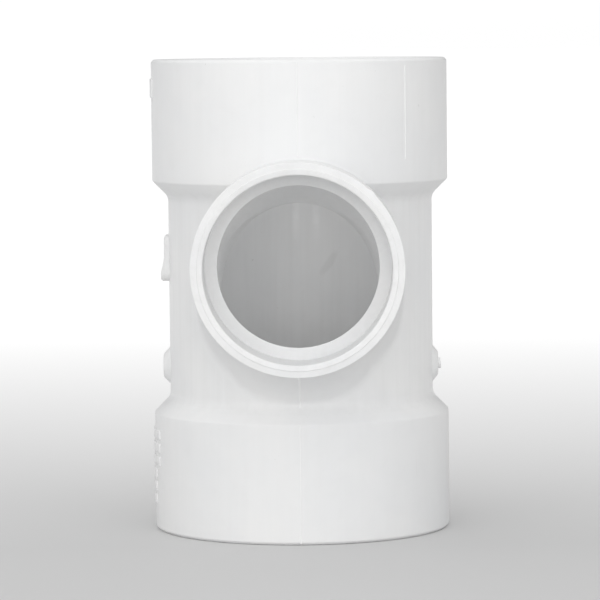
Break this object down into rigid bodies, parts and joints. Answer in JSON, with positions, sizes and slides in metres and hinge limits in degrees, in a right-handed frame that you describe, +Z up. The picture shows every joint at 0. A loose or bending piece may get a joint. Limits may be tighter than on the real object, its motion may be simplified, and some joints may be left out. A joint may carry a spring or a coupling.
{
  "type": "pvc sanitary tee fitting",
  "caption": "White PVC drain tee with a straight socketed run and a smaller socketed branch that sweeps down into it, for solvent-welded pipe.",
  "frame": {"origin": "centre of the lower rim's flat face, on the axis of the run, where the fitting stands on a surface", "axes": "+Z up the run towards the upper socket, the flow's source; -Y out along the branch; +X to the right of someone who faces the branch"},
  "size_m": [0.0999, 0.1249, 0.158],
  "materials": {
    "white_pvc": "satin, as moulded"
  },
  "bodies": {
    "root": {"lower_hub": "white_pvc", "lower_stop_shoulder": "white_pvc", "run_barrel": "white_pvc", "upper_stop_shoulder": "white_pvc", "upper_hub": "white_pvc", "branch_neck": "white_pvc", "branch_hub": "white_pvc", "gate_disc": "white_pvc", "gate_vestige": "white_pvc", "ejector_disc": "white_pvc", "size_pad": "white_pvc", "marking_bars": "white_pvc", "parting_ridges": "white_pvc"}
  },
  "joints": []
}
